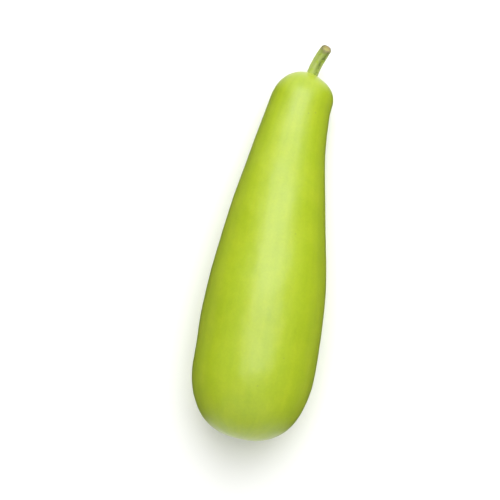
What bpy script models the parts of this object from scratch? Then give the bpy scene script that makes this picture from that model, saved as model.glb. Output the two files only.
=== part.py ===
"""A bottle gourd as picked, lying on its side: the fruit and its cut stem.

Metres, +Z up. The blossom end points to -Y, the stem end to +Y. The fruit is one swept body: a round
section carried along a bent centreline, closed by two superelliptic ends. The origin is the middle of
the footprint, on the surface that the gourd lies on.
"""

import math

import bmesh
import bpy
import numpy as np
from mathutils import Matrix, Vector

# --- Fruit -------------------------------------------------------------------------------------
FRUIT_LENGTH = 0.3016  # of the centreline along Y, from blossom end to stem end
BELLY_RADIUS = 0.0483
NECK_RADIUS = 0.0243
TAPER_START, TAPER_END = 0.292, 0.995  # shares of the length between which belly becomes neck

BLOSSOM_CAP = 0.217  # share of the length that the round blossom end takes
BLOSSOM_POWERS = (2.55, 2.36)  # along the axis, across it; 2 and 2 would be an ellipse
STEM_CAP = 0.093
STEM_POWERS = (2.55, 1.9)

BLOSSOM_SWAY = 0.0082  # sideways bend of the blossom end, to -X
STEM_SWAY = 0.0138  # sideways bend of the stem end, to +X
BLOSSOM_SWAY_POWER, STEM_SWAY_POWER = 3.0, 6.0

LOBES = 3  # one faint flat between each two of the fruit's three seed chambers
LOBE_DEPTH = 0.0005
LOBE_TURN = math.radians(20)

SHOULDER_SWELL = 0.0041  # the stem-end shoulder is fuller on the +X side
SHOULDER_SPAN = (0.9, 1.1)

# --- How it lies -------------------------------------------------------------------------------
PRESS = 0.0016  # how far the underside is flattened where the fruit lay on the ground
PRESS_BLEND = 0.0006  # half height of the round edge of that flat
ARCH = 0.0032  # clearance under the waist, between the belly's flat and the neck's
ARCH_SPAN = (0.40, 0.90)

# --- Blossom scar and stem seat ------------------------------------------------------------------
SCAR_RADIUS = 0.0052
SCAR_DEPTH = 0.0009
BUTTON_RADIUS = 0.0016
BUTTON_HEIGHT = 0.0007
SEAT_RADIUS = 0.0054  # flat on the stem end that the stem's foot stands on

# --- Stem --------------------------------------------------------------------------------------
STEM_LENGTH = 0.0253
STEM_RADIUS = 0.0045
FOOT_FLARE, FOOT_SHARE = 0.06, 0.12  # extra radius at the foot, and how soon it is gone
RIM_WEAR, WORN_SHARE = 0.12, 0.06  # radius worn off round the cut, over that share of the stem
STEM_LEAN = (math.radians(1), math.radians(15.7))  # to +X from the seat's direction, at foot and tip
STEM_RISE = math.radians(36)  # bend upwards from foot to tip
RIDGES = 5
RIDGE_DEPTH = 0.07  # share of the radius
RIDGE_START = 1.0 / 3.0  # share of the stem over which the ridges rise from the round foot
RIDGE_FADE, RIDGE_END = 0.6, 0.25  # share of that depth that is gone at the cut, and how soon it goes
RIDGE_TURN = math.radians(32)
RIDGE_TWIST = math.radians(28)  # turn of the ridges over the stem's length
CUT_TILT = math.radians(12)  # how much further up than the stem the cut face looks
CUT_SHARE = 0.25  # last share of the stem that is sheared to meet the slanted cut
PITH_DEPTH = 0.0006
CUT_RINGS = ((0.93, -0.10), (0.80, 0.25), (0.55, 0.75), (0.25, 1.0))  # shares of radius, of that depth
STEM_OFFSET = 0.0009  # of the stem to +X from the centreline's end
STEM_GAP = 0.0003  # between the seat and the stem's foot

# --- Mesh --------------------------------------------------------------------------------------
FRUIT_SIDES = 56
FRUIT_RINGS = 54
STEM_SIDES = 40
STEM_RINGS = 24
FINE = 2000  # steps in which a profile is measured before its rings are placed
CROWDING = 0.85  # 0 spaces the fruit's rings evenly, 1 lets them meet at the two poles
TANGENT_STEP = 1e-4
SHARP_ANGLE = math.radians(40)

SKIN_COLOUR, SKIN_ROUGHNESS = (0.40, 0.57, 0.035, 1.0), 0.4
STEM_COLOUR, STEM_ROUGHNESS = (0.24, 0.33, 0.075, 1.0), 0.6


def smooth(value):
    """0 below 0, 1 above 1, and an even S between them."""
    share = np.clip(value, 0.0, 1.0)
    return share * share * (3.0 - 2.0 * share)


def body_radius(t):
    """Radius of the fruit without its round ends."""
    taper = smooth((t - TAPER_START) / (TAPER_END - TAPER_START))
    return BELLY_RADIUS + (NECK_RADIUS - BELLY_RADIUS) * taper


def fruit_radius(t):
    """Radius of the fruit at the share t of its length, 0 at the two poles."""
    along, across = BLOSSOM_POWERS
    blossom = (1.0 - np.clip(1.0 - t / BLOSSOM_CAP, 0.0, 1.0) ** along) ** (1.0 / across)
    along, across = STEM_POWERS
    stem = (1.0 - np.clip((t - 1.0 + STEM_CAP) / STEM_CAP, 0.0, 1.0) ** along) ** (1.0 / across)
    return body_radius(t) * blossom * stem


def centreline(t):
    """Points of the fruit's centreline: both ends sway, and the neck comes down to the surface."""
    stem_bend = STEM_SWAY * np.clip(t, 0.0, None) ** STEM_SWAY_POWER
    blossom_bend = BLOSSOM_SWAY * np.clip(1.0 - t, 0.0, None) ** BLOSSOM_SWAY_POWER
    start, end = ARCH_SPAN
    lift = ARCH * np.sin(np.pi * np.clip((t - start) / (end - start), 0.0, 1.0)) ** 2
    z = body_radius(t) - PRESS + lift
    return np.stack([stem_bend - blossom_bend, FRUIT_LENGTH * t, z], axis=-1)


def fruit_frame(t):
    """Centre, side, tangent and up of the section at each t, as arrays of vectors."""
    tangent = centreline(t + TANGENT_STEP) - centreline(t - TANGENT_STEP)
    return (centreline(t), *turned(tangent))


def turned(tangent):
    """Unit side, tangent and up vectors of sections square to the tangents, with side level."""
    tangent = tangent / np.linalg.norm(tangent, axis=-1, keepdims=True)
    side = np.cross(tangent, (0.0, 0.0, 1.0))
    side /= np.linalg.norm(side, axis=-1, keepdims=True)
    return side, tangent, np.cross(side, tangent)


def settle(z):
    """Heights after the fruit has pressed its underside flat: 0 below, with a round edge."""
    share = np.clip((z + PRESS_BLEND) / (2.0 * PRESS_BLEND), 0.0, 1.0)
    return np.where(z > PRESS_BLEND, z, PRESS_BLEND * share**2)


def blossom_relief(radius):
    """Height of the blossom scar over the skin: a shallow dish with a button in its middle."""
    dish = -SCAR_DEPTH * (1.0 - smooth(radius / SCAR_RADIUS))
    return dish + BUTTON_HEIGHT * np.exp(-((radius / BUTTON_RADIUS) ** 2))


def seat_station():
    """The t at which the stem end is cut flat, where its radius is the seat's."""
    t = np.linspace(1.0 - STEM_CAP, 1.0, FINE)
    return float(np.interp(-SEAT_RADIUS, -fruit_radius(t), t))


def fruit_stations():
    """The rings' t, evenly spaced along the profile, and closer together towards the two poles."""
    t = 0.5 * seat_station() * (1.0 - np.cos(np.linspace(0.0, np.pi, FINE)))
    steps = np.hypot(np.diff(fruit_radius(t)), FRUIT_LENGTH * np.diff(t))
    travelled = np.concatenate([[0.0], np.cumsum(steps)])
    even = np.linspace(0.0, 1.0, FRUIT_RINGS + 1)
    crowded = even - CROWDING * np.sin(2.0 * np.pi * even) / (2.0 * np.pi)
    return np.interp(crowded * travelled[-1], travelled, t)[1:]


def fruit_grid():
    """Points of the fruit, a row for each ring from the blossom pole to the seat's middle."""
    t = fruit_stations()[:, None]
    turn = np.linspace(0.0, 2.0 * np.pi, FRUIT_SIDES, endpoint=False)[None, :]
    radius = fruit_radius(t)
    fullness = radius / body_radius(t)  # 0 at the poles, so that the lobes fade out there
    start, end = SHOULDER_SPAN
    wave = np.sin(np.pi * np.clip((t - start) / (end - start), 0.0, 1.0)) ** 2
    shoulder = SHOULDER_SWELL * wave * np.clip(np.cos(turn), 0.0, 1.0) ** 2
    lobes = LOBE_DEPTH * np.cos(LOBES * (turn - LOBE_TURN))
    radius = radius + fullness * (lobes + shoulder)
    centre, side, tangent, up = fruit_frame(t[:, 0])
    rim = np.cos(turn)[..., None] * side[:, None] + np.sin(turn)[..., None] * up[:, None]
    relief = blossom_relief(radius) * (t < BLOSSOM_CAP)
    points = centre[:, None] + radius[..., None] * rim - relief[..., None] * tangent[:, None]
    points[..., 2] = settle(points[..., 2])

    tip, _, forward, _ = fruit_frame(np.array(0.0))
    return with_poles(tip - forward * blossom_relief(0.0), points, centre[-1])


def direction(lean, rise):
    """Unit vectors that lean to +X from +Y, and rise to +Z."""
    return np.stack([np.sin(lean) * np.cos(rise), np.cos(lean) * np.cos(rise), np.sin(rise)], axis=-1)


def stem_path():
    """Centre, side, tangent and up of the stem's sections, in the seat's frame: it grows along +Y."""
    share = np.linspace(0.0, 1.0, STEM_RINGS + 1)
    bend = smooth(share)
    lean = STEM_LEAN[0] + (STEM_LEAN[1] - STEM_LEAN[0]) * bend
    rise = STEM_RISE * bend
    heading = direction(lean, rise)
    steps = 0.5 * (heading[1:] + heading[:-1]) * STEM_LENGTH / STEM_RINGS
    centre = np.concatenate([np.zeros((1, 3)), np.cumsum(steps, axis=0)])
    return (share, centre, *turned(heading))


def cut_normal():
    """Direction that the cut face looks in, in the seat's frame."""
    return direction(STEM_LEAN[1], STEM_RISE + CUT_TILT)


def stem_grid():
    """Points of the stem: rings from its foot to the cut, then inwards over the cut face."""
    share, centre, side, tangent, up = stem_path()
    share = share[:, None]
    turn = np.linspace(0.0, 2.0 * np.pi, STEM_SIDES, endpoint=False)[None, :]
    fade = RIDGE_FADE * smooth((share - 1.0 + RIDGE_END) / RIDGE_END)
    depth = RIDGE_DEPTH * smooth(share / RIDGE_START) * (1.0 - fade)
    ridged = depth * np.cos(RIDGES * (turn - RIDGE_TURN + RIDGE_TWIST * share))
    foot = FOOT_FLARE * np.exp(-share / FOOT_SHARE)
    worn = np.clip((share - 1.0 + WORN_SHARE) / WORN_SHARE, 0.0, 1.0)
    wear = RIM_WEAR * (1.0 - np.sqrt(1.0 - worn**2))
    radius = STEM_RADIUS * (1.0 + foot - wear) * (1.0 + ridged)
    rim = np.cos(turn)[..., None] * side[:, None] + np.sin(turn)[..., None] * up[:, None]
    wall = centre[:, None] + radius[..., None] * rim

    normal = cut_normal()
    slant = (wall - centre[:, None]) @ normal / (tangent @ normal)[:, None]
    sheared = smooth((share - 1.0 + CUT_SHARE) / CUT_SHARE) * slant
    wall = wall - sheared[..., None] * tangent[:, None]

    face = []
    for inset, sink in CUT_RINGS:
        face.append(centre[-1] + inset * (wall[-1] - centre[-1]) - sink * PITH_DEPTH * normal)
    rings = np.concatenate([wall, np.array(face)])
    return with_poles(centre[0], rings, centre[-1] - PITH_DEPTH * normal)


def with_poles(first, rings, last):
    """The rings with a row for the pole at each end, all of whose points are the pole."""
    sides = rings.shape[1]
    return np.concatenate([np.tile(first, (1, sides, 1)), rings, np.tile(last, (1, sides, 1))])


def wrapped_sphere(name, grid):
    """A UV sphere pulled onto the grid's points, from its top pole at the grid's first row down."""
    rows, sides = grid.shape[:2]
    ball = bmesh.new()
    bmesh.ops.create_uvsphere(ball, u_segments=sides, v_segments=rows - 1, radius=1.0)
    for vertex in ball.verts:
        x, y, z = vertex.co
        row = round((rows - 1) * math.atan2(math.hypot(x, y), z) / math.pi)
        column = round(sides * math.atan2(y, x) / math.tau) % sides
        vertex.co = grid[row, column]
    mesh = bpy.data.meshes.new(name)
    ball.to_mesh(mesh)
    ball.free()
    mesh.shade_smooth()
    mesh.set_sharp_from_angle(angle=SHARP_ANGLE)
    return mesh


def finish(name, colour, roughness):
    """A Principled material of one colour."""
    material = bpy.data.materials.new(name)
    material.use_nodes = True
    shader = material.node_tree.nodes["Principled BSDF"]
    shader.inputs["Base Color"].default_value = colour
    shader.inputs["Roughness"].default_value = roughness
    return material


def add_object(mesh, material, parent):
    """The mesh as an object of its name on the parent."""
    mesh.materials.append(material)
    thing = bpy.data.objects.new(mesh.name, mesh)
    thing.parent = parent
    bpy.context.scene.collection.objects.link(thing)
    return thing


def seat_matrix():
    """Placing of the stem: its foot just off the seat, growing square to it."""
    centre, side, tangent, up = (Vector(v) for v in fruit_frame(np.array(seat_station())))
    turn = Matrix((side, tangent, up)).transposed().to_4x4()
    return Matrix.Translation(centre + STEM_OFFSET * side + STEM_GAP * tangent) @ turn


def stand_on_origin(holder):
    """Moves the gourd so that the middle of its footprint is at the origin."""
    bpy.context.view_layer.update()
    corners = [piece.matrix_world @ v.co for piece in holder.children for v in piece.data.vertices]
    low, high = np.min(corners, axis=0), np.max(corners, axis=0)
    middle = 0.5 * (low + high)
    holder.location = (-middle[0], -middle[1], -low[2])


def main():
    for old in list(bpy.data.objects):
        bpy.data.objects.remove(old)
    gourd = bpy.data.objects.new("gourd", None)
    bpy.context.scene.collection.objects.link(gourd)
    skin = finish("gourd_skin", SKIN_COLOUR, SKIN_ROUGHNESS)
    stem_rind = finish("green_stem", STEM_COLOUR, STEM_ROUGHNESS)
    add_object(wrapped_sphere("fruit", fruit_grid()), skin, gourd)
    stem = add_object(wrapped_sphere("stem", stem_grid()), stem_rind, gourd)
    stem.matrix_local = seat_matrix()
    stand_on_origin(gourd)


main()
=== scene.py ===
"""The looks of a bottle gourd as picked: its waxy skin, its ribbed green stem and the studio round it.

Metres, +Z up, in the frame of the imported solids. The blossom end points to -Y, the stem end to +Y. The
fine surfaces follow the same formulas as the solids and stand in the same place, and add what the solids
are too coarse for: the skin's unevenness, the corky blossom scar, the collar round the stem, the stem's
fine ribs, and the strands in its dried cut.
"""

import logging
import math
from dataclasses import dataclass
from enum import Enum

import bpy
import numpy as np
from mathutils import Matrix, Vector

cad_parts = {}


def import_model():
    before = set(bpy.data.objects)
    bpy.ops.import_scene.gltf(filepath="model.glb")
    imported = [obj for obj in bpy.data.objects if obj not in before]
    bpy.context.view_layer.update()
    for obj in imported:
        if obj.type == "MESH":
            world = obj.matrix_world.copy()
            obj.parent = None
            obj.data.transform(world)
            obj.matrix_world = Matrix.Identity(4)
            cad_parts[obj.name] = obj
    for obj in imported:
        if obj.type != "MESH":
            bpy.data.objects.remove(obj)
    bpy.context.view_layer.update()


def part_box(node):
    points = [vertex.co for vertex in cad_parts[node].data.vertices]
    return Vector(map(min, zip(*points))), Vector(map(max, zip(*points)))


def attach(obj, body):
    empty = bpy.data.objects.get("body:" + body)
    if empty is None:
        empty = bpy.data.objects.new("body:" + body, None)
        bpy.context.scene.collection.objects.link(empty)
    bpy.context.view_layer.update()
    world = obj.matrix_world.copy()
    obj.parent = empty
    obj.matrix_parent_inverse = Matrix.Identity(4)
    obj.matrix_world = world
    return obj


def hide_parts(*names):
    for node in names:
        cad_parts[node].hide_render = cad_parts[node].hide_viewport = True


Array = np.ndarray
Sections = tuple[Array, Array, Array, Array]
Span = tuple[float, float]
Waves = tuple[tuple[float, int, float], ...]  # heights, counts round the axis, and phases
Stops = tuple[tuple[float, str], ...]  # rising positions, and sRGB hex values
Object = bpy.types.Object
Material = bpy.types.Material
Tree = bpy.types.NodeTree
Socket = bpy.types.NodeSocket

LOG = logging.getLogger("bottle_gourd")
BODY = "root"
MM = 0.001


class Slot(Enum):
    """Finishes that the record names."""

    SKIN = "gourd_skin"
    STEM = "gourd_stem"


class Mark(Enum):
    """Attributes that carry a place on the surface from the mesh to its material."""

    MERIDIAN = "meridian"  # vector: round the axis in its first two parts, along it in the third
    SCAR = "scar"  # 1 on the blossom scar
    COLLAR = "collar"  # 1 where the skin meets the stem, and the mask of the painted highlight round it
    GROUND = "ground"  # 1 on the patch that the fruit lay on
    GROOVE = "groove"  # how dark the stem's wall is painted: painted shade in the grooves and on one side, up to 1 in the most shaded groove
    ALONG = "along"  # 0 at the stem's foot, 1 at its cut
    CUT = "cut"  # 0 on the stem's wall, 1 on its cut face
    RADIAL = "radial"  # share of the radius on the cut face, 1 on the wall


class Ease(Enum):
    """How a value goes from one end of a range to the other."""

    EVEN = "LINEAR"
    SOFT = "SMOOTHSTEP"


# --- Shared shapes ---


def smooth(value: Array | float) -> Array:
    """0 below 0, 1 above 1, and the even S of 3 v^2 - 2 v^3 between them."""
    share = np.clip(value, 0.0, 1.0)
    return share * share * (3.0 - 2.0 * share)


def within(value: Array | float, span: Span) -> Array:
    """How far a value is through a span: 0 at its start, and 1 at its end."""
    start, end = span
    return (value - start) / (end - start)


def hump(value: Array | float) -> Array:
    """0 outside 0 to 1, and one round hump of sin^2 between them, 1 high in the middle."""
    return np.sin(np.pi * np.clip(value, 0.0, 1.0)) ** 2


def bell(value: Array | float) -> Array:
    """1 at 0, and dying away on both sides: exp(-v^2)."""
    return np.exp(-(value**2))


def peaks(angle: Array, power: int) -> Array:
    """0 to 1, highest at every full turn: (1/2 + cos(angle) / 2) to the power."""
    return (0.5 + 0.5 * np.cos(angle)) ** power


def ripple(turn: Array, parts: Waves) -> Array:
    """The sum of height x sin(count x turn + phase) over the waves."""
    return sum(height * np.sin(count * turn + phase) for height, count, phase in parts)


def circle(sides: int) -> Array:
    """The angles of so many even steps round a ring, as one row."""
    return np.linspace(0.0, 2.0 * np.pi, sides, endpoint=False)[None, :]


def sections(tangent: Array) -> tuple[Array, Array, Array]:
    """Frames of sections that stand square to a path, with their side vector level.

    Args:
        tangent: Direction of the path at each section, of any length.

    Returns:
        Unit side, tangent and up vectors: side is tangent x Z, up is side x tangent.
    """
    tangent = tangent / np.linalg.norm(tangent, axis=-1, keepdims=True)
    side = np.cross(tangent, (0.0, 0.0, 1.0))
    side /= np.linalg.norm(side, axis=-1, keepdims=True)
    return side, tangent, np.cross(side, tangent)


def spokes(turn: Array, side: Array, up: Array) -> Array:
    """Unit vectors cos(turn) side + sin(turn) up, for every section and every turn."""
    return np.cos(turn)[..., None] * side[:, None] + np.sin(turn)[..., None] * up[:, None]


def meridian(turn: Array, radius: float, along: Array) -> Array:
    """Places unrolled round a cylinder of that radius: cos and sin of the turn times it, and along."""
    return np.stack([radius * np.cos(turn), radius * np.sin(turn), along], axis=-1)


def outward(rings: Array) -> Array:
    """Unit normals of a grid of rings, from the slope along the rows crossed with that round them.

    Args:
        rings: Points by ring and side.

    Returns:
        Normals by ring and side.
    """
    along = np.gradient(rings, axis=0)
    around = np.roll(rings, -1, axis=1) - np.roll(rings, 1, axis=1)
    normal = np.cross(along, around)
    return normal / np.maximum(np.linalg.norm(normal, axis=-1, keepdims=True), 1e-12)


@dataclass(frozen=True)
class Unevenness:
    """Soft seeded unevenness: plane waves through space, in random directions and phases."""

    height: float  # root mean square of the sum, in the unit of what it is added to
    shortest: float  # wavelength, in metres
    longest: float
    seed: int
    waves: int = 32

    def at(self, points: Array) -> Array:
        """Heights at points: the sum of cos(k . p + phase) over the waves, scaled to the height.

        Args:
            points: Array whose last axis holds x, y and z.

        Returns:
            Array of heights, without that last axis.
        """
        draw = np.random.default_rng(self.seed)
        heading = draw.normal(size=(self.waves, 3))
        heading /= np.linalg.norm(heading, axis=1, keepdims=True)
        wavelength = draw.uniform(self.shortest, self.longest, self.waves)
        phase = draw.uniform(0.0, 2.0 * np.pi, self.waves)
        angle = points @ (heading * (2.0 * np.pi / wavelength)[:, None]).T + phase
        return self.height * np.sqrt(2.0 / self.waves) * np.cos(angle).sum(axis=-1)


def linked(name: str, data: bpy.types.ID) -> Object:
    """Makes an object and links it to the scene.

    Args:
        name: Its name.
        data: Its mesh, light or camera.

    Returns:
        The object.
    """
    made = bpy.data.objects.new(name, data)
    bpy.context.scene.collection.objects.link(made)
    return made


def closed_skin(name: str, first: Array, rings: Array, last: Array, marks: dict[Mark, Array]) -> Object:
    """A closed mesh over a grid of rings, with a fan of triangles to a pole at each end.

    Args:
        name: Name of the object.
        first: Point of the pole before the first ring.
        rings: Points by ring and side, turning from side to up as the rings go along the tangent.
        last: Point of the pole after the last ring.
        marks: Values by ring and side for each attribute, with a third axis for a vector.

    Returns:
        The object, smooth-shaded, with its faces pointing out.
    """
    rows, sides = rings.shape[:2]
    points = np.concatenate([first[None], rings.reshape(-1, 3), last[None]])
    near = 1 + np.arange(rows * sides).reshape(rows, sides)
    beside = np.roll(near, -1, axis=1)
    quads = np.stack([near[:-1], near[1:], beside[1:], beside[:-1]], axis=-1).reshape(-1, 4)
    opening = np.stack([np.zeros(sides, int), near[0], beside[0]], axis=-1)
    closing = np.stack([np.full(sides, len(points) - 1), beside[-1], near[-1]], axis=-1)
    mesh = bpy.data.meshes.new(name)
    mesh.from_pydata(points, [], quads.tolist() + opening.tolist() + closing.tolist())
    for mark, values in marks.items():
        parts = values.reshape(rows * sides, -1)
        with_poles = np.concatenate([parts[:sides].mean(0)[None], parts, parts[-sides:].mean(0)[None]])
        kind, field = ("FLOAT_VECTOR", "vector") if with_poles.shape[1] == 3 else ("FLOAT", "value")
        layer = mesh.attributes.new(mark.value, kind, "POINT")
        layer.data.foreach_set(field, with_poles.astype(np.float32).ravel())
    mesh.shade_smooth()
    return linked(name, mesh)


# --- Shared nodes ---


def linear(colour: str) -> tuple[float, float, float, float]:
    """The linear colour, with alpha 1, of an sRGB hex value such as "#B4CC38"."""
    parts = np.frombuffer(bytes.fromhex(colour[1:]), np.uint8) / 255.0
    return (*np.where(parts <= 0.04045, parts / 12.92, ((parts + 0.055) / 1.055) ** 2.4).tolist(), 1.0)


def add(tree: Tree, kind: str, inputs: dict | None = None, **settings: str) -> bpy.types.Node:
    """Adds a node to a tree, with its settings, values and links.

    Args:
        tree: The node tree.
        kind: Blender's name of the node's class.
        inputs: By socket name or number, a socket to link, or a value or sRGB hex value to set.
        **settings: Properties of the node.

    Returns:
        The node.
    """
    node = tree.nodes.new(kind)
    for name, value in settings.items():
        setattr(node, name, value)
    for name, value in (inputs or {}).items():
        if isinstance(value, Socket):
            tree.links.new(value, node.inputs[name])
        else:
            node.inputs[name].default_value = linear(value) if isinstance(value, str) else value
    return node


def read(tree: Tree, mark: Mark) -> Socket:
    """The value of a mark, which is a vector for the meridian."""
    output = "Vector" if mark is Mark.MERIDIAN else "Fac"
    return add(tree, "ShaderNodeAttribute", attribute_name=mark.value).outputs[output]


def noise(
    tree: Tree,
    place: Socket,
    size: float,
    detail: float = 3.0,
    roughness: float = 0.5,
    distortion: float = 0.0,
) -> Socket:
    """Noise from 0 to 1 over a place.

    Args:
        tree: The node tree.
        place: Where the noise is looked up.
        size: How large its features are, in the place's unit.
        detail: How often finer noise is added.
        roughness: How strong the finer noise is.
        distortion: How much the features are bent.

    Returns:
        The noise.
    """
    inputs = {"Vector": place, "Scale": 1.0 / size, "Detail": detail}
    inputs |= {"Roughness": roughness, "Distortion": distortion}
    return add(tree, "ShaderNodeTexNoise", inputs).outputs["Fac"]


def drawn_out(tree: Tree, width: float, length: float) -> Socket:
    """Noise from 0 to 1 in streaks along the meridians, of a width and a length in metres."""
    inputs = {"Vector": read(tree, Mark.MERIDIAN), "Scale": (1.0 / width, 1.0 / width, 1.0 / length)}
    return noise(tree, add(tree, "ShaderNodeMapping", inputs).outputs["Vector"], 1.0)


def weighed(tree: Tree, value: Socket, weight: Socket | float, term: Socket | float = 0.0) -> Socket:
    """The value times the weight, plus the term."""
    inputs = {0: value, 1: weight, 2: term}
    return add(tree, "ShaderNodeMath", inputs, operation="MULTIPLY_ADD").outputs["Value"]


def ranged(
    tree: Tree, value: Socket, source: Span, target: tuple = (0.0, 1.0), ease: Ease = Ease.EVEN
) -> Socket:
    """A value carried from one range to another, and held at its ends.

    Args:
        tree: The node tree.
        value: The value.
        source: Its range.
        target: What the range's two ends become, each a number or a socket.
        ease: How it goes from one to the other.

    Returns:
        The new value.
    """
    names = ("From Min", "From Max", "To Min", "To Max")
    inputs = {"Value": value, **dict(zip(names, (*source, *target)))}
    return add(tree, "ShaderNodeMapRange", inputs, interpolation_type=ease.value).outputs["Result"]


def mixed(tree: Tree, share: Socket, first: Socket | str, second: Socket | str) -> Socket:
    """The first colour with that share of the second. Either may be an sRGB hex value."""
    inputs = {"Factor": share, "A": first, "B": second}
    return add(tree, "ShaderNodeMix", inputs, data_type="RGBA").outputs["Result"]


def ramp(tree: Tree, share: Socket, stops: Stops) -> Socket:
    """The colour at a share, blended between the stops.

    Args:
        tree: The node tree.
        share: The share.
        stops: Two or more.

    Returns:
        The colour.
    """
    node = add(tree, "ShaderNodeValToRGB", {"Fac": share})
    elements = node.color_ramp.elements
    for element, (position, colour) in zip(elements, (stops[0], stops[-1])):
        element.position, element.color = position, linear(colour)
    for position, colour in stops[1:-1]:
        elements.new(position).color = linear(colour)
    return node.outputs["Color"]


def bumped(tree: Tree, height: Socket, strength: float, depth: float) -> Socket:
    """The normal over a height from 0 to 1 that stands for a depth in metres."""
    inputs = {"Height": height, "Strength": strength, "Distance": depth}
    return add(tree, "ShaderNodeBump", inputs).outputs["Normal"]


def empty_material(name: str) -> tuple[Material, Tree]:
    """Makes a material with an empty node tree.

    Args:
        name: Its name.

    Returns:
        The material and its tree.
    """
    material = bpy.data.materials.new(name)
    material.use_nodes = True
    material.node_tree.nodes.clear()
    return material, material.node_tree


def surface(tree: Tree, inputs: dict) -> None:
    """Ends a material's tree with a Principled shader of those inputs."""
    shader = add(tree, "ShaderNodeBsdfPrincipled", inputs)
    add(tree, "ShaderNodeOutputMaterial", {"Surface": shader.outputs["BSDF"]})


@dataclass(frozen=True)
class Layer:
    """A colour laid over another where a value goes through a span."""

    colour: str
    span: Span  # the values between which it comes in
    strength: float = 1.0  # its share once it is all in
    ease: Ease = Ease.EVEN

    def over(self, tree: Tree, value: Socket, below: Socket | str) -> Socket:
        """The colour below with this one laid over it by the value."""
        share = ranged(tree, value, self.span, (0.0, self.strength), self.ease)
        return mixed(tree, share, below, self.colour)


# --- Finishes ---


@dataclass(frozen=True)
class WaxySkin:
    """Rind of a young bottle gourd: a smooth green skin under a thin natural wax.

    The wax gives a broad, soft highlight. The green is mottled in soft blotches, and streaked along the
    meridians where the veins run close under the skin. Pale stomata make it finely grained, and a few
    faint darker spots are where it was bruised while it grew. A paler skin round the stem is a painted
    highlight.
    """

    greens: Stops = ((0.32, "#9BB305"), (0.5, "#A2B808"), (0.68, "#AABD0E"))  # deep, middle and pale
    corks: Stops = ((0.35, "#8A7440"), (0.7, "#A9A048"))
    ground: Layer = Layer("#C4CC70", (0.0, 1.0), 0.75)
    # painted highlight: a paler skin round the stem, for the light on the stem-end shoulder
    collar: Layer = Layer("#BCCB4A", (0.0, 1.0), 0.7)
    bruise: Layer = Layer("#86982A", (1.1 * MM, 0.33 * MM), 0.55, Ease.SOFT)  # by distance to the nearest

    blotch: float = 14 * MM
    blotch_share: float = 0.55  # of the mottling, and the rest is streaks
    streak_width: float = 5 * MM
    streak_length: float = 90 * MM
    grain: float = 1.6 * MM  # stomata, drawn about twice as coarse as they are so that they show
    grain_span: Span = (0.1, 0.7)  # from a stoma's middle to its edge, in grains
    grain_value: Span = (1.03, 0.97)  # brightness there
    fleck: float = 1.2 * MM  # in the scar's cork
    fleck_share: float = 0.5  # how far the flecks fray the cork's edge
    cork_span: Span = (0.55, 0.85)
    pebble: float = 2.5 * MM
    pebble_strength: float = 0.25
    pebble_height: float = 0.08 * MM

    gloss_span: Span = (0.3, 0.7)
    roughness: Span = (0.33, 0.40)  # of the glossiest and the dullest blotches
    index: float = 1.5
    wax: float = 0.6
    wax_roughness: float = 0.34
    wax_index: float = 1.45
    flesh: float = 0.12  # share of the light that goes through the pale flesh below
    flesh_reach: tuple[float, float, float] = (0.6, 1.0, 0.15)  # of red, green and blue light, by the depth
    flesh_depth: float = 2.5 * MM

    def material(self, bruises: Array) -> Material:
        """Builds the material.

        Args:
            bruises: Points on the skin that are bruised, one in each row.

        Returns:
            The material, on Object coordinates and on the fruit's own attributes.
        """
        material, tree = empty_material("waxed_gourd_rind")
        place = add(tree, "ShaderNodeTexCoord").outputs["Object"]
        pebbles = noise(tree, place, self.pebble)
        principled = {
            "Base Color": self.marked(tree, place, self.mottled(tree, place), bruises),
            "Roughness": ranged(tree, noise(tree, place, self.blotch), self.gloss_span, self.roughness),
            "IOR": self.index,
            "Normal": bumped(tree, pebbles, self.pebble_strength, self.pebble_height),
            "Coat Weight": self.wax,
            "Coat Roughness": self.wax_roughness,
            "Coat IOR": self.wax_index,
            "Subsurface Weight": self.flesh,
            "Subsurface Radius": self.flesh_reach,
            "Subsurface Scale": self.flesh_depth,
        }
        surface(tree, principled)
        return material

    def mottled(self, tree: Tree, place: Socket) -> Socket:
        """The green, with its blotches, meridian streaks and fine grain.

        Args:
            tree: The node tree.
            place: Object coordinates.

        Returns:
            The colour.
        """
        blotch = noise(tree, place, self.blotch, detail=4.0, roughness=0.55, distortion=0.4)
        streak = drawn_out(tree, self.streak_width, self.streak_length)
        streaks = weighed(tree, streak, 1.0 - self.blotch_share)
        mottle = weighed(tree, blotch, self.blotch_share, streaks)
        cells = {"Vector": place, "Scale": 1.0 / self.grain, "Randomness": 1.0}
        grain = add(tree, "ShaderNodeTexVoronoi", cells, feature="SMOOTH_F1").outputs["Distance"]
        fine = ranged(tree, grain, self.grain_span, self.grain_value)
        tinted = {"Color": ramp(tree, mottle, self.greens), "Value": fine}
        return add(tree, "ShaderNodeHueSaturation", tinted).outputs["Color"]

    def marked(self, tree: Tree, place: Socket, colour: Socket, bruises: Array) -> Socket:
        """The colour, with the bruises, ground patch, painted collar highlight and blossom scar on it.

        Bruises are soft darker spots, by the distance to the nearest one.

        Args:
            tree: The node tree.
            place: Object coordinates.
            colour: The green.
            bruises: Points on the skin, one in each row.

        Returns:
            The colour.
        """
        nearest = 1.0
        for point in bruises:
            away = add(tree, "ShaderNodeVectorMath", {0: place, 1: tuple(point)}, operation="DISTANCE")
            both = {0: away.outputs["Value"], 1: nearest}
            nearest = add(tree, "ShaderNodeMath", both, operation="MINIMUM").outputs["Value"]
        colour = self.bruise.over(tree, nearest, colour)
        colour = self.ground.over(tree, read(tree, Mark.GROUND), colour)
        # painted highlight: paler skin round the stem
        colour = self.collar.over(tree, read(tree, Mark.COLLAR), colour)
        flecks = noise(tree, place, self.fleck, detail=4.0)
        frayed = weighed(tree, flecks, self.fleck_share, read(tree, Mark.SCAR))
        return mixed(tree, ranged(tree, frayed, self.cork_span), colour, ramp(tree, flecks, self.corks))


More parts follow.
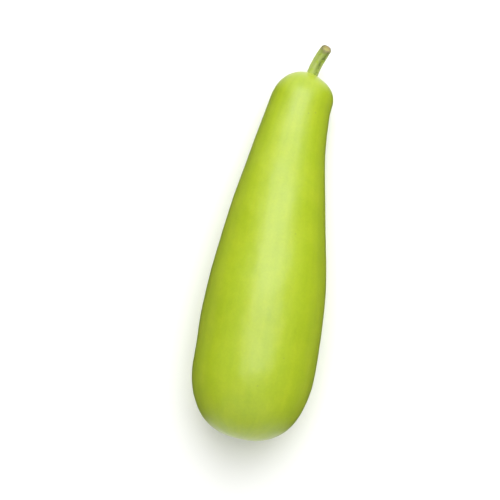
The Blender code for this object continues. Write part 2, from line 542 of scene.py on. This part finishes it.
@dataclass(frozen=True)
class GreenStem:
    """Fruit stalk, ribbed and downy, with a dried cut.

    Down makes its ridges grey-green, and they are brighter where it has rubbed off. The grooves are painted
    darker as shade, most on one side, and flecked where the skin has cracked. The cut has dried to straw
    round a pale pith, tanned on one side, with a ring of darker strands where the veins ended and a
    grey-brown rim of shrunken bark.
    """

    ridge: str = "#AEBC66"
    groove: Layer = Layer("#7C9034", (0.45, 1.45))  # painted shade in the grooves, by their shade and the fibres
    rubbed: Layer = Layer("#9DB531", (0.5, 0.64), 0.7)
    fleck: Layer = Layer("#5E6A2C", (0.74, 0.84), 0.75)  # by the flecks and the groove
    foot: Layer = Layer("#9DB440", (0.22, 0.0), 0.35)  # by the share of the length
    browned: Layer = Layer("#78704C", (0.98, 1.16), 0.85)  # by that share and the scuffs
    rings: Stops = ((0.40, "#A6A658"), (0.54, "#918F4B"), (0.62, "#A6A658"), (0.80, "#6E6A4A"))
    ring_span: Span = (0.25, 1.25)  # from pith to rim, by the radius and the speckles
    tanned: Layer = Layer("#A0895C", (0.5, 0.66), 0.6)

    fibre_width: float = 0.35 * MM
    fibre_length: float = 7 * MM
    fibre_share: float = 0.9
    fibre_strength: float = 0.5
    fibre_height: float = 0.06 * MM
    patch: float = 3.2 * MM  # a patch where the down has rubbed off
    dot: float = 1.3 * MM  # of a fleck
    groove_share: float = 0.3  # how much more the grooves are flecked
    scuff: float = 2.2 * MM
    scuff_share: float = 0.25
    speckle: float = 1.6 * MM
    speckle_share: float = 0.5
    tan: float = 4.5 * MM

    roughness: float = 0.62
    index: float = 1.4
    down: float = 0.06
    down_roughness: float = 0.5

    def material(self) -> Material:
        """Builds the material.

        Returns:
            The material, on Object coordinates and on the stem's own attributes.
        """
        material, tree = empty_material("downy_green_stalk")
        place = add(tree, "ShaderNodeTexCoord").outputs["Object"]
        fibre = drawn_out(tree, self.fibre_width, self.fibre_length)
        wall, cut = self.wall(tree, place, fibre), self.cut_face(tree, place)
        principled = {
            "Base Color": mixed(tree, read(tree, Mark.CUT), wall, cut),
            "Roughness": self.roughness,
            "IOR": self.index,
            "Sheen Weight": self.down,
            "Sheen Roughness": self.down_roughness,
            "Normal": bumped(tree, fibre, self.fibre_strength, self.fibre_height),
        }
        surface(tree, principled)
        return material

    def wall(self, tree: Tree, place: Socket, fibre: Socket) -> Socket:
        """Wall colour: ridge to painted groove shade, rubbed patches, flecks, a brighter foot, a browner
        tip.

        Args:
            tree: The node tree.
            place: Object coordinates.
            fibre: The fibres' noise.

        Returns:
            The colour.
        """
        groove, along = read(tree, Mark.GROOVE), read(tree, Mark.ALONG)
        # painted shade: darker in the grooves, and most on one side of the stem
        colour = self.groove.over(tree, weighed(tree, fibre, self.fibre_share, groove), self.ridge)
        colour = self.rubbed.over(tree, noise(tree, place, self.patch, detail=2.0), colour)
        flecks = weighed(tree, groove, self.groove_share, noise(tree, place, self.dot, detail=2.0))
        colour = self.foot.over(tree, along, self.fleck.over(tree, flecks, colour))
        scuffed = weighed(tree, noise(tree, place, self.scuff, detail=4.0), self.scuff_share, along)
        return self.browned.over(tree, scuffed, colour)

    def cut_face(self, tree: Tree, place: Socket) -> Socket:
        """Colour of the cut: pith, strands, pith and the shrunken rim, by the share of the radius.

        Args:
            tree: The node tree.
            place: Object coordinates.

        Returns:
            The colour.
        """
        speckles = noise(tree, place, self.speckle, detail=4.0)
        ragged = weighed(tree, speckles, self.speckle_share, read(tree, Mark.RADIAL))
        rings = ramp(tree, ranged(tree, ragged, self.ring_span), self.rings)
        return self.tanned.over(tree, noise(tree, place, self.tan, detail=1.0), rings)


# --- Fruit ---


@dataclass(frozen=True)
class Fruit:
    """The fruit: a round section carried along a bent centreline, closed by two superelliptic ends.

    Lengths are in metres, and a share runs from 0 at the blossom end to 1 at the stem end.
    """

    length: float = 0.3016
    belly_radius: float = 0.0483
    neck_radius: float = 0.0243
    taper: Span = (0.292, 0.995)  # shares between which belly becomes neck
    blossom_cap: float = 0.217  # share of the length that the round blossom end takes
    blossom_powers: Span = (2.55, 2.36)  # along the axis, and across it
    stem_cap: float = 0.093
    stem_powers: Span = (2.55, 1.9)
    blossom_sway: float = 0.0082
    blossom_sway_power: float = 3.0
    stem_sway: float = 0.0138
    stem_sway_power: float = 6.0
    lobes: int = 3
    lobe_depth: float = 0.0005
    lobe_turn: float = math.radians(20)
    shoulder_swell: float = 0.0041
    shoulder_span: Span = (0.9, 1.1)
    press: float = 0.0016  # how far the underside is flattened
    press_blend: float = 0.0006
    arch: float = 0.0032  # lift of the waist
    arch_span: Span = (0.40, 0.90)
    scar_radius: float = 0.0052
    scar_depth: float = 0.0009
    button_radius: float = 0.0016
    button_height: float = 0.0007
    seat_radius: float = 0.0054

    sides: int = 280
    rings: int = 300
    seat_rings: int = 14
    end_reach: float = 0.009  # of the finer rings at the two ends
    end_gain: float = 7.0  # added there to the rings' density of 1
    fine: int = 4000  # steps that the profile is measured in
    tangent_step: float = 1e-4

    broad: Unevenness = Unevenness(0.00016, 0.030, 0.070, seed=11)
    small: Unevenness = Unevenness(0.00003, 0.007, 0.016, seed=12)
    collar_height: float = 0.0004
    collar_width: float = 0.0022
    collar_highlight_reach: float = 0.012  # of the painted highlight, a paler skin round the collar
    wander: Waves = ((0.7, 2, 1.0), (0.4, 3, 2.3))  # spaces creases and cracks unevenly
    crease_count: int = 11
    crease_power: int = 3  # the higher, the narrower
    crease_depth: float = 0.00012
    crease_reach: float = 0.011
    crack_count: int = 9
    crack_power: int = 4
    crack_depth: float = 0.00012
    crack_span: Span = (0.15, 1.15)  # shares of the scar's radius between which its relief ends
    crust: Unevenness = Unevenness(0.00005, 0.0009, 0.0022, seed=13)
    cork_span: Span = (0.55, 1.25)  # shares of the scar's radius between which its colour ends
    ground_span: Span = (0.76, 0.98)  # how much the skin faces down where the ground patch comes in
    ground_edge: Unevenness = Unevenness(0.07, 0.022, 0.075, seed=14)
    mean_girth: float = 0.7  # of the whole fruit, as a share of the belly's
    # Bruised places: their share, and their turn in degrees up from the +X side.
    bruises: tuple[Span, ...] = (
        (0.14, 83), (0.22, 63), (0.53, 67), (0.88, 57), (0.87, 70), (0.34, -18), (0.63, 205), (0.79, 158),
        (0.24, 238),
    )

    def body_radius(self, t: Array) -> Array:
        """Radius without the round ends: the belly's, eased to the neck's over the taper."""
        narrowing = self.neck_radius - self.belly_radius
        return self.belly_radius + narrowing * smooth(within(t, self.taper))

    def radius(self, t: Array) -> Array:
        """Radius at the shares t: the body's, times a superellipse over each end, 0 at the poles.

        Args:
            t: Shares.

        Returns:
            Radii.
        """
        along, across = self.blossom_powers
        blossom = (1.0 - np.clip(1.0 - t / self.blossom_cap, 0.0, 1.0) ** along) ** (1.0 / across)
        along, across = self.stem_powers
        reach = np.clip(within(t, (1.0 - self.stem_cap, 1.0)), 0.0, 1.0)
        return self.body_radius(t) * blossom * (1.0 - reach**along) ** (1.0 / across)

    def centreline(self, t: Array) -> Array:
        """Points of the centreline: both ends sway by a power of the share, and the waist lifts.

        Args:
            t: Shares.

        Returns:
            Points.
        """
        stem_bend = self.stem_sway * np.clip(t, 0.0, None) ** self.stem_sway_power
        blossom_bend = self.blossom_sway * np.clip(1.0 - t, 0.0, None) ** self.blossom_sway_power
        z = self.body_radius(t) - self.press + self.arch * hump(within(t, self.arch_span))
        return np.stack([stem_bend - blossom_bend, self.length * t, z], axis=-1)

    def frame_at(self, t: Array) -> Sections:
        """Centre, side, tangent and up of the sections at the shares t."""
        step = self.tangent_step
        return (self.centreline(t), *sections(self.centreline(t + step) - self.centreline(t - step)))

    def seat_station(self) -> float:
        """The share at which the stem end's radius is the seat's."""
        t = np.linspace(1.0 - self.stem_cap, 1.0, self.fine)
        return float(np.interp(-self.seat_radius, -self.radius(t), t))

    def stations(self) -> Array:
        """Where the rings are: even along the profile, and closer near the two ends.

        Returns:
            Shares, rising.
        """
        t = 0.5 * self.seat_station() * (1.0 - np.cos(np.linspace(0.0, np.pi, self.fine)))
        steps = np.hypot(np.diff(self.radius(t)), self.length * np.diff(t))
        travelled = np.concatenate([[0.0], np.cumsum(steps)])
        to_end = np.minimum(travelled, travelled[-1] - travelled)
        density = 1.0 + self.end_gain * bell(to_end / self.end_reach)
        count = np.concatenate([[0.0], np.cumsum(0.5 * (density[1:] + density[:-1]) * steps)])
        return np.interp(np.linspace(0.0, count[-1], self.rings + 1), count, t)[1:]

    def settle(self, z: Array) -> Array:
        """Heights once the underside is pressed flat: 0 below, a parabola over the blend, then z."""
        share = np.clip(within(z, (-self.press_blend, self.press_blend)), 0.0, 1.0)
        return np.where(z > self.press_blend, z, self.press_blend * share**2)

    def scar_relief(self, radius: Array | float) -> Array:
        """Height of the blossom scar over the skin: a shallow dish with a round button in it."""
        dish = -self.scar_depth * (1.0 - smooth(radius / self.scar_radius))
        return dish + self.button_height * bell(radius / self.button_radius)

    def plain(self) -> tuple[Array, Array, Array, Array]:
        """The surface as the solids have it, on the fine grid.

        Each ring is the section's circle, with faint lobes and the fuller shoulder added to its radius,
        and the scar's relief taken off along the tangent. Past the seat's rim, rings shrink to its middle.

        Returns:
            The blossom pole, the rings' points, their shares t and their radii.
        """
        t = self.stations()[:, None]
        turn = circle(self.sides)
        radius = self.radius(t)
        fullness = radius / self.body_radius(t)
        swell = self.shoulder_swell * hump(within(t, self.shoulder_span))
        shoulder = swell * np.clip(np.cos(turn), 0.0, 1.0) ** 2
        lobe = self.lobe_depth * np.cos(self.lobes * (turn - self.lobe_turn))
        radius = radius + fullness * (lobe + shoulder)
        centre, side, tangent, up = self.frame_at(t[:, 0])
        relief = self.scar_relief(radius) * (t < self.blossom_cap)
        points = centre[:, None] + radius[..., None] * spokes(turn, side, up)
        points = points - relief[..., None] * tangent[:, None]
        shrink = np.linspace(1.0, 0.0, self.seat_rings + 2)[1:-1, None, None]
        seat = centre[-1] + shrink * (points[-1] - centre[-1])
        tip, _, forward, _ = self.frame_at(np.array(0.0))
        pole = tip - forward * self.scar_relief(0.0)
        shares = np.concatenate([np.broadcast_to(t, radius.shape), np.ones((self.seat_rings, self.sides))])
        radii = np.concatenate([radius, shrink[..., 0] * radius[-1]])
        return pole, np.concatenate([points, seat]), shares, radii

    def settled(self, points: Array) -> Array:
        """The points with their heights settled."""
        return np.concatenate([points[..., :2], self.settle(points[..., 2:])], axis=-1)

    def offset(self) -> Array:
        """How far the formulas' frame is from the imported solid's, by their boxes' middles and lows.

        Returns:
            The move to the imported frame.
        """
        _, points, _, _ = self.plain()
        points = self.settled(points)
        low, high = points.min(axis=(0, 1)), points.max(axis=(0, 1))
        packed_low, packed_high = (np.array(corner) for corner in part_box("fruit"))
        middle = 0.5 * (packed_low + packed_high) - 0.5 * (low + high)
        return np.array([middle[0], middle[1], packed_low[2] - low[2]])

    def bruised_points(self, offset: Array) -> Array:
        """Points on the skin at the bruised places.

        Args:
            offset: Move from the formulas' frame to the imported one.

        Returns:
            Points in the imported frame, one in each row.
        """
        share, turn = np.array(self.bruises).T
        centre, side, _, up = self.frame_at(share)
        spoke = spokes(np.radians(turn)[:, None], side, up)[:, 0]
        return centre + self.radius(share)[:, None] * spoke + offset

    def detail(self, t: Array, radius: Array, points: Array, foot: Array) -> Array:
        """Height of the fine relief over the plain surface.

        It is broad and small unevenness, creases that radiate from the stem, and cracks in the scar's
        cork. All of it fades out at the middles of the scar and of the seat.

        Args:
            t: Shares of the points.
            radius: Radii of the points.
            points: The plain surface.
            foot: Middle of the stem's foot.

        Returns:
            Heights, in metres, by ring and side.
        """
        turn = circle(self.sides)
        wander = ripple(turn, self.wander)
        uneven = smooth(radius / (2.0 * self.scar_radius)) * (self.broad.at(points) + self.small.at(points))
        near_stem = bell(np.linalg.norm(points - foot, axis=-1) / self.crease_reach)
        crease = peaks(self.crease_count * turn + wander, self.crease_power)
        creases = self.crease_depth * near_stem * crease * smooth(radius / self.seat_radius)
        scarred = 1.0 - smooth(within(radius / self.scar_radius, self.crack_span))
        on_scar = (t < 0.5) * scarred * smooth(radius / self.button_radius)
        cracks = self.crack_depth * peaks(self.crack_count * turn + 2.0 * wander, self.crack_power)
        return uneven - creases + on_scar * (self.crust.at(points) - cracks)

    def build(self, foot: Array, growth: Array, foot_radius: float, offset: Array) -> Object:
        """Builds the fruit's fine surface.

        The collar is a rounded step of skin that rises round the stem's foot along the stem.

        Args:
            foot: Middle of the stem's foot, in the formulas' frame.
            growth: Unit direction that the stem grows in there.
            foot_radius: Radius of the stem's foot.
            offset: Move from the formulas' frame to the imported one.

        Returns:
            The object, with its attributes.
        """
        pole, points, t, radius = self.plain()
        normal = outward(points)
        points = points + self.detail(t, radius, points, foot)[..., None] * normal
        beyond = np.clip(np.linalg.norm(points - foot, axis=-1) - foot_radius, 0.0, None)
        collar = bell(beyond / self.collar_width)
        points = self.settled(points + self.collar_height * collar[..., None] * growth)
        normal = outward(points)

        turn = circle(self.sides) + 0.0 * t
        corked = 1.0 - smooth(within(radius / self.scar_radius, self.cork_span))
        faces_down = self.ground_edge.at(points) - normal[..., 2]
        marks = {
            Mark.MERIDIAN: meridian(turn, self.mean_girth * self.belly_radius, self.length * t),
            Mark.SCAR: (t < 0.5) * corked,
            # mask of the painted highlight round the collar
            Mark.COLLAR: bell(beyond / self.collar_highlight_reach),
            Mark.GROUND: smooth(within(faces_down, self.ground_span)),
        }
        return closed_skin("gourd_fruit", pole + offset, points + offset, points[-1].mean(0) + offset, marks)


# --- Stem ---


@dataclass(frozen=True)
class Stem:
    """The stem: a ribbed round section carried along a bent path, and cut off slantwise.

    Its frame has its foot at the origin and grows along +Y. Lengths are in metres, and a share runs from
    0 at the foot to 1 at the cut.
    """

    length: float = 0.0253
    radius: float = 0.0045
    foot_flare: float = 0.06
    foot_share: float = 0.12
    rim_wear: float = 0.12
    worn_share: float = 0.06
    lean: Span = (math.radians(1), math.radians(15.7))  # to +X, at the foot and at the tip
    rise: float = math.radians(36)
    ridges: int = 5
    ridge_depth: float = 0.07
    ridge_start: float = 1.0 / 3.0
    ridge_fade: float = 0.6
    ridge_end: float = 0.25
    ridge_turn: float = math.radians(32)
    ridge_twist: float = math.radians(28)
    cut_tilt: float = math.radians(12)
    cut_share: float = 0.25
    pith_depth: float = 0.0006
    offset: float = 0.0009
    gap: float = 0.0003

    sides: int = 180
    rings: int = 190
    cut_rings: int = 26
    root: float = 0.0016  # how deep the foot is sunk into the fruit

    shaded_turn: float = math.radians(32)  # side on which the wall's painted shade is darkest
    shaded_power: int = 3
    shaded_least: float = 0.3
    ridge_shade: float = 0.24  # how dark a ridge is painted, where the painted shade in a groove is 1
    cut_shade: float = 0.5
    fine_ribs: int = 25
    fine_rib_depth: float = 0.00005
    fine_rib_wander: Waves = ((1.5, 2, 0.0),)
    fibrous: Unevenness = Unevenness(0.00005, 0.0012, 0.004, seed=21)
    fibrous_stretch: float = 0.22  # length in which the unevenness is looked up, by the stem's own
    frayed: Waves = ((0.00008, 9, 1.0), (0.00006, 17, 0.4))  # of the cut's rim
    sink_span: Span = (0.05, 0.80)  # shares of the radius, from the rim, over which the pith sinks
    lip: float = 0.1  # height of the cut's lip, as a share of the pith's depth
    lip_width: float = 0.07  # as a share of the radius
    strands: int = 10
    strand_wander: Waves = ((0.6, 1, 0.0),)
    strand_place: float = 0.66
    strand_width: float = 0.07
    strand_power: int = 2
    strand_height: float = 0.00010
    dried: Unevenness = Unevenness(0.00003, 0.0006, 0.0018, seed=22)

    def direction(self, lean: Array | float, rise: Array | float) -> Array:
        """Unit vectors that lean to +X from +Y, and rise to +Z."""
        level = np.cos(rise)
        return np.stack([np.sin(lean) * level, np.cos(lean) * level, np.sin(rise) + 0.0 * lean], axis=-1)

    def path(self) -> tuple[Array, Sections]:
        """The stem's path: its heading eases from the foot's to the tip's.

        Returns:
            The sections' shares, and their centres, sides, tangents and ups.
        """
        share = np.linspace(0.0, 1.0, self.rings + 1)
        bend = smooth(share)
        first, last = self.lean
        heading = self.direction(first + (last - first) * bend, self.rise * bend)
        steps = 0.5 * (heading[1:] + heading[:-1]) * self.length / self.rings
        centre = np.concatenate([np.zeros((1, 3)), np.cumsum(steps, axis=0)])
        return share, (centre, *sections(heading))

    def cut_normal(self) -> Array:
        """Direction that the cut face looks in."""
        return self.direction(self.lean[1], self.rise + self.cut_tilt)

    def wall(self, share: Array, turn: Array) -> tuple[Array, Array]:
        """Radius of the wall and how dark its painted shade is.

        The radius is the stem's, flared at the foot, rounded to a quarter ellipse at the worn rim and
        times one plus the ridges' cosine, with fine ribs and unevenness drawn out along the stem added.
        Its painted shade is darkest in the grooves, and on one side.

        Args:
            share: Shares along the stem, as a column.
            turn: Angles round it, as a row.

        Returns:
            Radii, and how dark the wall's painted shade is, both by ring and side.
        """
        fade = self.ridge_fade * smooth(within(share, (1.0 - self.ridge_end, 1.0)))
        depth = self.ridge_depth * smooth(share / self.ridge_start) * (1.0 - fade)
        ridge = np.cos(self.ridges * (turn - self.ridge_turn + self.ridge_twist * share))
        foot = self.foot_flare * np.exp(-share / self.foot_share)
        worn = np.clip(within(share, (1.0 - self.worn_share, 1.0)), 0.0, 1.0)
        wear = self.rim_wear * (1.0 - np.sqrt(1.0 - worn**2))
        radius = self.radius * (1.0 + foot - wear) * (1.0 + depth * ridge)
        twisted = turn + self.ridge_twist * share
        fine = self.fine_rib_depth * np.cos(self.fine_ribs * twisted + ripple(turn, self.fine_rib_wander))
        along = self.fibrous_stretch * self.length * (share + 0.0 * turn)
        uneven = self.fibrous.at(meridian(twisted, self.radius, along))
        # painted shade: most on one side of the stem, and in the grooves
        side_shade = self.shaded_least + (1.0 - self.shaded_least) * peaks(turn - self.shaded_turn, self.shaded_power)
        groove_shading = self.ridge_shade + (1.0 - self.ridge_shade) * (0.5 - 0.5 * ridge)
        return radius + fine + uneven, side_shade * groove_shading

    def grid(self) -> tuple[Array, Array, Array, dict[Mark, Array]]:
        """Points of the stem: its wall, sheared to the slanted cut, and then the cut face inwards.

        The cut face shrinks the last ring towards its middle, sinks to the pith, and stands up in a ring
        of strands. Its rim is a little ragged.

        Returns:
            The foot's pole, the rings, the pith's pole and the attributes.
        """
        share, (centre, side, tangent, up) = self.path()
        column, turn = share[:, None], circle(self.sides)
        radius, shade = self.wall(column, turn)
        wall = centre[:, None] + radius[..., None] * spokes(turn, side, up)
        normal = self.cut_normal()
        slant = (wall - centre[:, None]) @ normal / (tangent @ normal)[:, None]
        cut = smooth(within(column, (1.0 - self.cut_share, 1.0)))
        sheared = cut * (slant + ripple(turn, self.frayed))
        wall = wall - sheared[..., None] * tangent[:, None]
        wall[0] -= self.root * tangent[0]

        inset = np.linspace(1.0, 0.0, self.cut_rings + 2)[1:-1, None]
        lip = self.lip * bell((1.0 - inset) / self.lip_width - 1.0)
        sink = self.pith_depth * (smooth(within(1.0 - inset, self.sink_span)) - lip)
        ring = bell((inset - self.strand_place) / self.strand_width)
        strand = ring * peaks(self.strands * turn + ripple(turn, self.strand_wander), self.strand_power)
        height = self.strand_height * strand - sink
        face = centre[-1] + inset[..., None] * (wall[-1] - centre[-1]) + height[..., None] * normal
        face = face + self.dried.at(face)[..., None] * normal
        rings = np.concatenate([wall, face])

        on_face = np.ones_like(face[..., 0])
        wide = np.concatenate([turn + 0.0 * column, turn * on_face])
        along = np.concatenate([column + 0.0 * turn, on_face])
        marks = {
            Mark.MERIDIAN: meridian(wide, self.radius, self.length * along),
            Mark.GROOVE: np.concatenate([shade, self.cut_shade * on_face]),
            Mark.ALONG: along,
            Mark.CUT: np.concatenate([0.0 * shade, on_face]),
            Mark.RADIAL: np.concatenate([0.0 * shade + 1.0, inset * on_face]),
        }
        return centre[0] - self.root * tangent[0], rings, face[-1].mean(0), marks

    def build(self, seat: Matrix) -> Object:
        """Builds the stem's fine surface.

        Args:
            seat: Placing of the stem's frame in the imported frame.

        Returns:
            The object, with its attributes.
        """
        turn, shift = np.array(seat.to_3x3()), np.array(seat.translation)
        first, rings, last, marks = self.grid()
        first, rings, last = (points @ turn.T + shift for points in (first, rings, last))
        return closed_skin("gourd_stem", first, rings, last, marks)


# --- Gourd ---


@dataclass(frozen=True)
class Gourd:
    """The whole gourd: its fruit with its stem seated on it."""

    fruit: Fruit = Fruit()
    stem: Stem = Stem()
    rind: WaxySkin = WaxySkin()
    stalk: GreenStem = GreenStem()

    def build(self) -> list[Object]:
        """Builds and dresses the pieces, and puts each in its solid's place.

        Returns:
            The pieces.
        """
        offset = self.fruit.offset()
        centre, side, tangent, up = self.fruit.frame_at(np.array(self.fruit.seat_station()))
        foot = centre + self.stem.offset * side + self.stem.gap * tangent
        foot_radius = self.stem.radius * (1.0 + self.stem.foot_flare)
        turn = Matrix((side, tangent, up)).transposed().to_4x4()
        seat = Matrix.Translation(Vector(foot + offset)) @ turn

        fruit = self.fruit.build(foot, tangent, foot_radius, offset)
        stem = self.stem.build(seat)
        dress(fruit, self.rind.material(self.fruit.bruised_points(offset)), "fruit")
        dress(stem, self.stalk.material(), "stem")
        return [fruit, stem]


def dress(piece: Object, material: Material, node: str) -> None:
    """Gives a piece its material, and has it ride and replace its solid.

    Args:
        piece: The piece.
        material: Its material.
        node: Name of the solid that it stands for.
    """
    piece.data.materials.append(material)
    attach(piece, BODY)
    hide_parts(node)


# --- Studio ---


@dataclass(frozen=True)
class Studio:
    """A pale floor under one big softbox and an even pale room, seen from almost straight above.

    Angles are in degrees, and a lean tips from straight up towards +Y.
    """

    floor_size: float = 8.0
    floor_colour: str = "#FCFCFB"
    floor_roughness: float = 0.9
    floor_index: float = 1.2
    room_colour: str = "#FFFFFF"
    walls: float = 0.03  # strength of the room's light from the sides
    ceiling: float = 0.5
    ends: Span = (0.35, 1.1)  # from the walls beyond the blossom end and the stem end
    end_span: Span = (0.55, 0.95)  # how endways a direction is where those walls come in
    ceiling_full: float = 0.6  # height of a direction from which the ceiling is at its full strength
    horizon: float = 0.15  # how far above and below level those walls blend into what is below
    below: float = 0.9  # from below those walls, in place of the floor that glossy rays pass through
    seen: float = 1.05  # strength of the room where it is looked at past the floor
    box_lean: float = 22.0
    box_distance: float = 2.0
    box_aside: float = 0.13  # share of the distance that it stands to +X
    box_size: Span = (2.0, 2.4)
    box_power: float = 33.9
    azimuth: float = 6.84
    elevation: float = 84.0
    lens: float = 120.0
    sensor: float = 36.0
    view_width: float = 0.4
    aim: tuple[float, float, float] = (-0.0152, -0.0126, 0.039)

    def build(self) -> None:
        """Builds the floor, the room, the softbox and the camera."""
        self.floor()
        self.room()
        self.softbox()
        self.camera()

    def floor(self) -> None:
        """One matt pale square on the surface that the gourd lies on."""
        half = 0.5 * self.floor_size
        corners = [(half * x, half * y, 0.0) for x, y in ((-1, -1), (1, -1), (1, 1), (-1, 1))]
        mesh = bpy.data.meshes.new("floor")
        mesh.from_pydata(corners, [], [(0, 1, 2, 3)])
        floor = linked("floor", mesh)
        material, tree = empty_material("matt_white_board")
        matt = {"Base Color": self.floor_colour, "Roughness": self.floor_roughness, "IOR": self.floor_index}
        surface(tree, matt)
        mesh.materials.append(material)
        floor.visible_glossy = False

    def room(self) -> None:
        """The room's light: a bright ceiling over dim walls, which are pale beyond the gourd's ends.

        The strength follows the height z of a direction, and how endways it is: |y| over the length of
        its level part. What is looked at directly is one even white.
        """
        world = bpy.data.worlds.new("pale_room")
        world.use_nodes = True
        tree = world.node_tree
        tree.nodes.clear()
        heading = add(tree, "ShaderNodeTexCoord").outputs["Generated"]
        height = add(tree, "ShaderNodeSeparateXYZ", {"Vector": heading}).outputs["Z"]
        above = ranged(tree, height, (0.0, self.ceiling_full), (self.walls, self.ceiling), Ease.SOFT)
        level = add(tree, "ShaderNodeVectorMath", {0: heading, 1: (1.0, 1.0, 0.0)}, operation="MULTIPLY")
        unit = add(tree, "ShaderNodeVectorMath", {0: level.outputs["Vector"]}, operation="NORMALIZE")
        forward = add(tree, "ShaderNodeSeparateXYZ", {"Vector": unit.outputs["Vector"]}).outputs["Y"]
        endways = add(tree, "ShaderNodeMath", {0: forward}, operation="ABSOLUTE").outputs["Value"]
        at_end = ranged(tree, endways, self.end_span, ease=Ease.SOFT)
        over = ranged(tree, forward, (-1.0, 1.0), self.ends)
        by_height = ranged(tree, height, (-self.horizon, self.horizon), (self.below, over))
        strength = weighed(tree, at_end, by_height, above)
        looked_at = add(tree, "ShaderNodeLightPath").outputs["Is Camera Ray"]
        either = {"Factor": looked_at, "A": strength, "B": self.seen}
        shown = add(tree, "ShaderNodeMix", either, data_type="FLOAT").outputs["Result"]
        light = add(tree, "ShaderNodeBackground", {"Color": self.room_colour, "Strength": shown})
        add(tree, "ShaderNodeOutputWorld", {"Surface": light.outputs["Background"]})
        bpy.context.scene.world = world

    def softbox(self) -> None:
        """The softbox, over the gourd and leaning towards its stem end."""
        lamp = bpy.data.lights.new("softbox", "AREA")
        lamp.shape = "RECTANGLE"
        lamp.size, lamp.size_y = self.box_size
        lamp.energy = self.box_power
        box = linked("softbox", lamp)
        lean = math.radians(self.box_lean)
        box.location = self.box_distance * Vector((self.box_aside, math.sin(lean), math.cos(lean)))
        box.rotation_euler = (-lean, 0.0, 0.0)
        box.visible_camera = False

    def camera(self) -> None:
        """The camera, at a distance at which its lens takes in the view's width."""
        data = bpy.data.cameras.new("camera")
        data.lens, data.sensor_width = self.lens, self.sensor
        turn, tip = math.radians(self.azimuth), math.radians(self.elevation)
        look = Vector((-math.sin(turn) * math.cos(tip), math.cos(turn) * math.cos(tip), -math.sin(tip)))
        up = Vector((-math.sin(turn) * math.sin(tip), math.cos(turn) * math.sin(tip), math.cos(tip)))
        camera = linked("camera", data)
        axes = Matrix((look.cross(up), up, -look)).transposed().to_4x4()
        distance = self.view_width * self.lens / self.sensor
        camera.matrix_world = Matrix.Translation(Vector(self.aim) - distance * look) @ axes
        scene = bpy.context.scene
        scene.camera = camera
        scene.view_settings.view_transform = "Standard"


def main() -> None:
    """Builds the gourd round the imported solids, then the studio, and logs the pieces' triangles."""
    logging.basicConfig(level=logging.INFO, format="%(name)s: %(message)s")
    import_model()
    for piece in Gourd().build():
        piece.data.calc_loop_triangles()
        LOG.info("%s: %d triangles", piece.name, len(piece.data.loop_triangles))
    Studio().build()
    LOG.info("studio: floor, room, softbox and camera")


if __name__ == "__main__":
    main()
